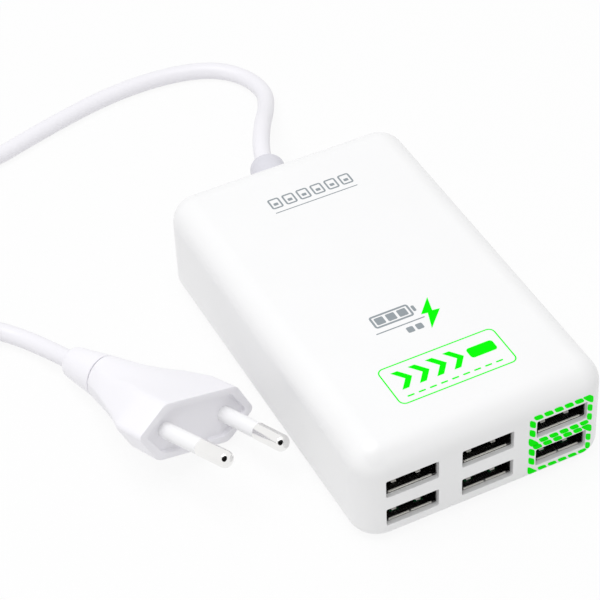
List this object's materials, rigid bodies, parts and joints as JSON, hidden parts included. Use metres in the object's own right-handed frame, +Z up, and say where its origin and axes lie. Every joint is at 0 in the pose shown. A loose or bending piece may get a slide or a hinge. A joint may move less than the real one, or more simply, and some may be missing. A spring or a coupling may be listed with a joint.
{
  "type": "multi port usb desktop charger",
  "caption": "Flat rounded white box with stacked USB sockets in its front wall, fed by a soft mains lead that ends in a flat plug with round sleeved pins.",
  "frame": {"origin": "on the surface that the charger stands on, under the middle of its housing", "axes": "+Z up, the sockets face -Y, the lead leaves the back wall towards +Y, +X to the right seen from the sockets"},
  "size_m": [0.1734, 0.1763, 0.0264],
  "materials": {
    "housing_white": "smooth gloss white moulding",
    "cover_white": "satin white moulding",
    "foot_rubber": "soft grey rubber",
    "screw_steel": "plain zinc",
    "socket_steel": "tinned sheet",
    "socket_black": "black moulding",
    "contact_gold": "thin gold on strip",
    "board_green": "green lacquered laminate",
    "sheet_film": "stiff insulating film",
    "fuse_ceramic": "ceramic tube with metal caps",
    "box_yellow": "film capacitor box",
    "ferrite": "sintered ferrite",
    "copper_wire": "enamelled wire",
    "package_black": "moulded package",
    "can_sleeve": "sleeved aluminium can",
    "sink_aluminium": "folded sheet",
    "bobbin_black": "glass filled moulding",
    "winding_tape": "winding under yellow tape",
    "disc_blue": "dipped coating",
    "relief_grey": "soft moulding",
    "cord_white": "soft round sheath",
    "plug_white": "satin moulding",
    "pin_nickel": "nickel plated",
    "sleeve_white": "moulded sleeve",
    "wire_brown": "insulated core",
    "wire_blue": "insulated core",
    "tie_band": "woven band"
  },
  "bodies": {
    "root": {"housing": "housing_white", "base_cover": "cover_white", "cover_screws": "screw_steel", "foot_front_left": "foot_rubber", "foot_front_right": "foot_rubber", "foot_back_left": "foot_rubber", "foot_back_right": "foot_rubber", "main_board": "board_green", "insulation_sheet": "sheet_film", "fuse": "fuse_ceramic", "x_capacitor": "box_yellow", "mains_choke_core": "ferrite", "mains_choke_winding": "copper_wire", "bridge_rectifier": "package_black", "bulk_capacitor": "can_sleeve", "switching_transistor": "package_black", "primary_heat_sink": "sink_aluminium", "transformer_core": "ferrite", "transformer_bobbin": "bobbin_black", "transformer_winding": "winding_tape", "y_capacitor": "disc_blue", "optocoupler": "package_black", "controller_chip": "package_black", "output_rectifier": "package_black", "secondary_heat_sink": "sink_aluminium", "output_capacitor_left": "can_sleeve", "output_capacitor_right": "can_sleeve", "output_choke": "package_black", "port_control_chip": "package_black", "strain_relief": "relief_grey", "live_wire": "wire_brown", "neutral_wire": "wire_blue", "cord_from_charger": "cord_white", "cord_to_plug": "cord_white", "cord_coil": "cord_white", "coil_tie": "tie_band", "plug_body": "plug_white", "plug_pin_left": "pin_nickel", "plug_pin_right": "pin_nickel", "pin_sleeve_left": "sleeve_white", "pin_sleeve_right": "sleeve_white", "usb_shell_left": "socket_steel", "usb_insulator_left": "socket_black", "usb_contacts_left": "contact_gold", "usb_shell_centre": "socket_steel", "usb_insulator_centre": "socket_black", "usb_contacts_centre": "contact_gold", "usb_shell_right": "socket_steel", "usb_insulator_right": "socket_black", "usb_contacts_right": "contact_gold"}
  },
  "joints": []
}
